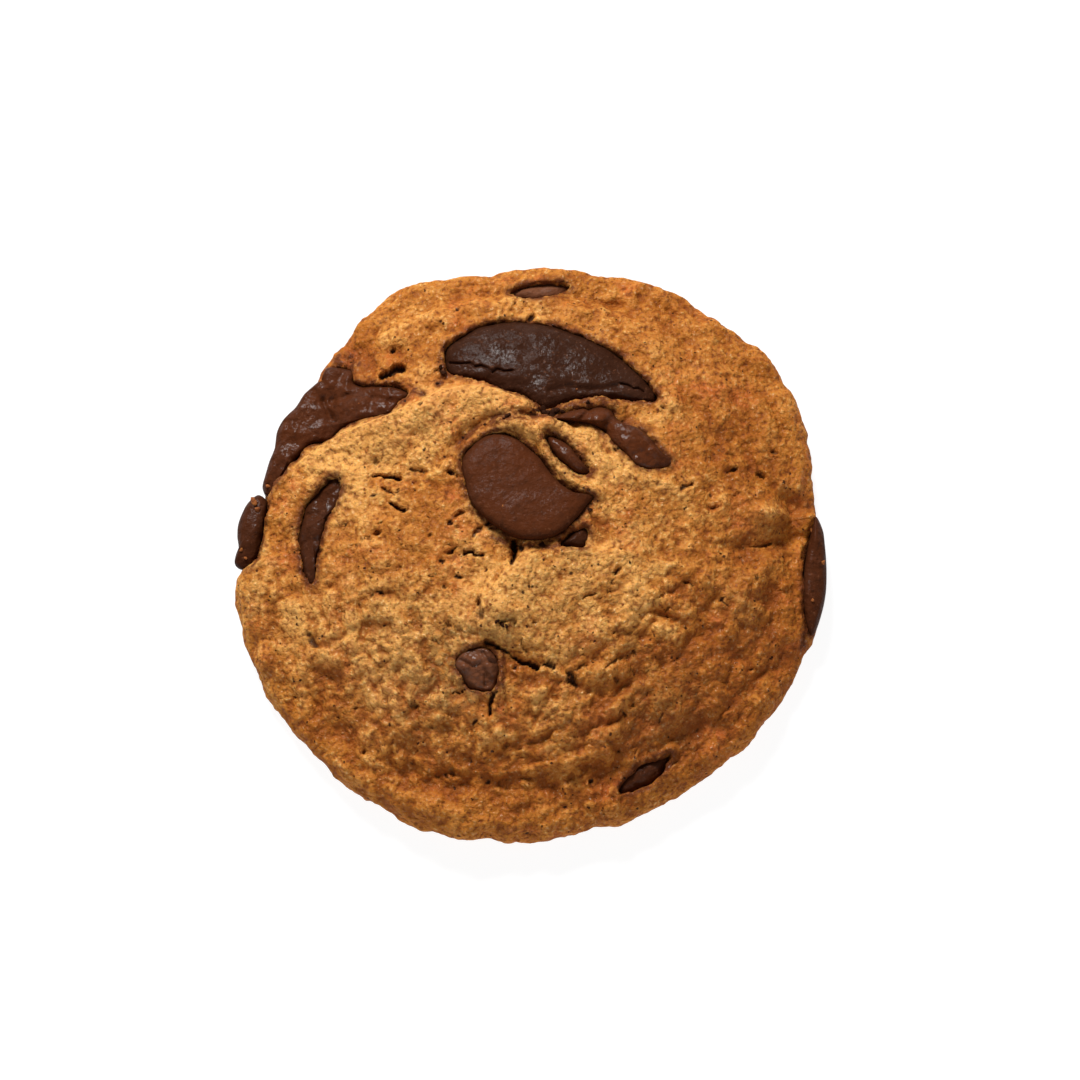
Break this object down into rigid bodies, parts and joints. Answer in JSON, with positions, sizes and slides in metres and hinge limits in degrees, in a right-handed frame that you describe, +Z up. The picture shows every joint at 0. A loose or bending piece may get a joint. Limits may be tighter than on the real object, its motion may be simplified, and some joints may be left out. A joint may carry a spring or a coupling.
{
  "type": "chocolate chip cookie",
  "caption": "Round home-baked cookie with an uneven domed top, folds and creases in the crust, and pieces of dark chocolate set into it.",
  "frame": {"origin": "middle of the cookie's box in plan, on the flat underside", "axes": "+Z up through the domed top; +Y towards the side with the largest piece of chocolate; +X towards the side with a chunk in the edge"},
  "size_m": [0.0834, 0.082, 0.0172],
  "materials": {
    "baked_dough": "matte",
    "dark_chocolate": "satin"
  },
  "bodies": {
    "root": {"dough": "baked_dough", "chunk_upper": "dark_chocolate", "wafer_middle": "dark_chocolate", "lobe_upper_right": "dark_chocolate", "chip_beside_wafer": "dark_chocolate", "slab_left": "dark_chocolate", "chip_left": "dark_chocolate", "chip_left_edge": "dark_chocolate", "chunk_right_edge": "dark_chocolate", "chip_lower_edge": "dark_chocolate", "chip_lower": "dark_chocolate", "chip_upper_edge": "dark_chocolate", "sliver_below_wafer": "dark_chocolate"}
  },
  "joints": []
}
